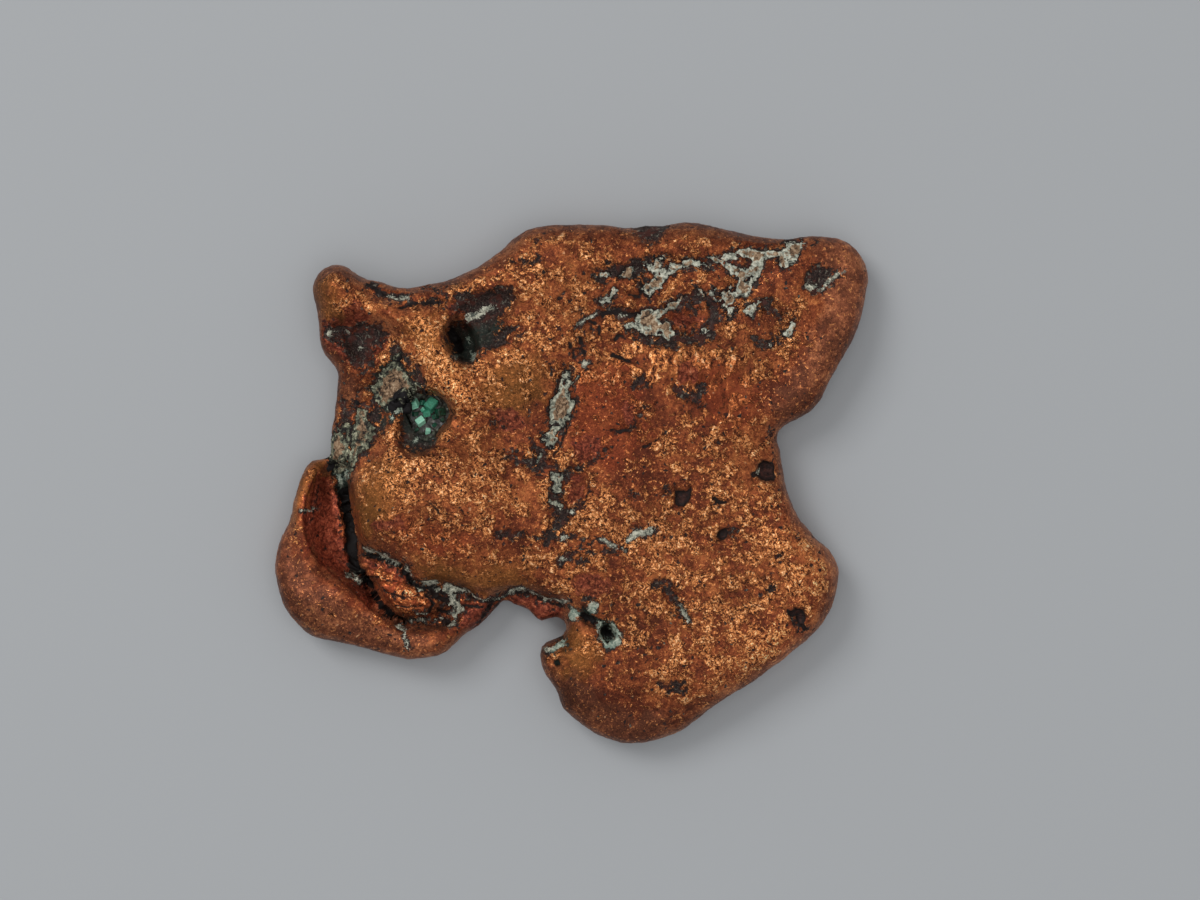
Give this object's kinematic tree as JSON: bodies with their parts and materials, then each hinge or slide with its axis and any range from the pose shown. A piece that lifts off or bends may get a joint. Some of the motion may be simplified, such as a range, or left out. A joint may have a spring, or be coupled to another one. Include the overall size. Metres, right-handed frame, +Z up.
{
  "type": "native copper nugget",
  "caption": "Flattened, water-worn lump of native copper with a curled fold, steep hollows, a green malachite crust and pale mineral veins; rests flat as a specimen.",
  "frame": {"origin": "on the resting plane, under the middle of the outline seen from above", "axes": "+X along the longest extent, from the fold's side to the right arm; +Y across the face towards the edge with the upper vein; +Z up out of the face with the hollows"},
  "size_m": [0.0595, 0.0522, 0.0085],
  "materials": {
    "native_copper": "worn native copper with dark tarnish",
    "malachite": "small blocky crystals",
    "pale_mineral": "dull, fine-grained"
  },
  "bodies": {
    "root": {"copper_nugget": "native_copper", "malachite_crust": "malachite", "mineral_left_crust": "pale_mineral", "mineral_upper_vein": "pale_mineral", "mineral_pool": "pale_mineral", "mineral_middle_vein": "pale_mineral"}
  },
  "joints": []
}
